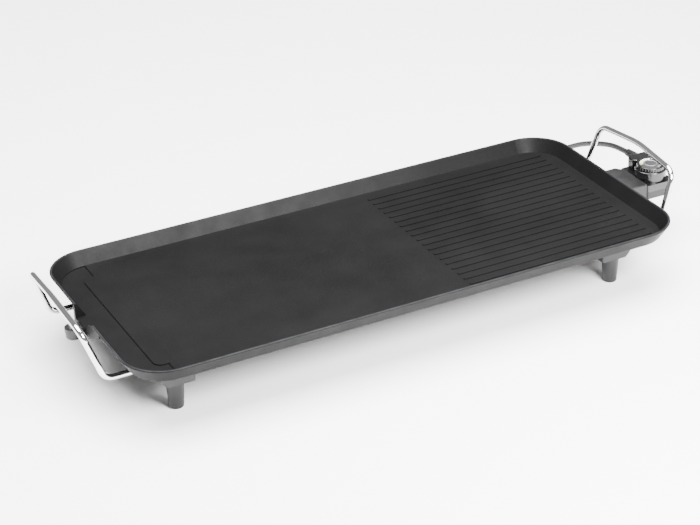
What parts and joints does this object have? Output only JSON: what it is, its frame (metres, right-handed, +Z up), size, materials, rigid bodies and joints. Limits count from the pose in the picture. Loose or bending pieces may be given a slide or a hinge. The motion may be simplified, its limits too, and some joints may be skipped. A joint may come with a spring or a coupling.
{
  "type": "electric griddle",
  "caption": "Long electric table griddle: cast non-stick tray with drain trough and outlet, bent rod handles, moulded feet and a plug-in dial controller with cord.",
  "frame": {"origin": "centre of the object's bounding box in plan without the cord, on the surface the feet stand on", "axes": "+Z up; +X along the tray towards the controller; -Y towards the user (front)"},
  "size_m": [0.8048, 0.4194, 0.1245],
  "materials": {
    "coated_plate": "black non-stick coating on die-cast aluminium, fine grain, satin",
    "element_steel": "heat-darkened steel sheath",
    "zinc_steel": "zinc plated",
    "chrome_rod": "polished chrome",
    "ceramic": "ceramic or light phenolic insulator",
    "contact_brass": "plated brass contacts",
    "black_moulding": "black phenolic moulding, satin",
    "black_gloss": "black moulding, glossy",
    "printed_disc": "silver disc with printed scale",
    "soft_black": "black flexible cord and plug material"
  },
  "bodies": {
    "griddle": {"griddle_plate": "coated_plate", "heating_element": "element_steel", "element_clamps": "zinc_steel", "clamp_screws": "zinc_steel", "terminal_bushes": "ceramic", "terminal_pins": "contact_brass", "earth_blade": "contact_brass", "socket_guard": "black_moulding", "guard_screws": "zinc_steel", "foot_front_left": "black_moulding", "foot_front_right": "black_moulding", "foot_rear_left": "black_moulding", "foot_rear_right": "black_moulding", "foot_screws": "zinc_steel", "handle_left": "chrome_rod", "handle_right": "chrome_rod", "drain_spout": "black_moulding"},
    "controller": {"controller_base": "black_moulding", "controller_cover": "black_gloss", "housing_screws": "zinc_steel", "plug_block": "black_moulding", "contact_sleeves": "contact_brass", "temperature_probe": "element_steel", "switch_frame": "ceramic", "contact_blades": "contact_brass", "strain_relief": "soft_black", "power_cord": "soft_black", "cord_coil": "soft_black", "coil_tie": "soft_black", "cord_tail": "soft_black", "plug_body": "soft_black", "plug_pins": "contact_brass"},
    "dial": {"dial_knob": "black_gloss", "dial_scale_disc": "printed_disc", "dial_shaft": "zinc_steel"}
  },
  "joints": [
    {"name": "controller_slide", "type": "slide", "parent": "griddle", "child": "controller", "axis": [1, 0, 0], "range_m": [0, 0.025]},
    {"name": "dial_turn", "type": "hinge", "parent": "controller", "child": "dial", "pos_m": [0.38241, -0.008, 0.088], "axis": [0, 0, 1], "range_deg": [0, 280]}
  ]
}
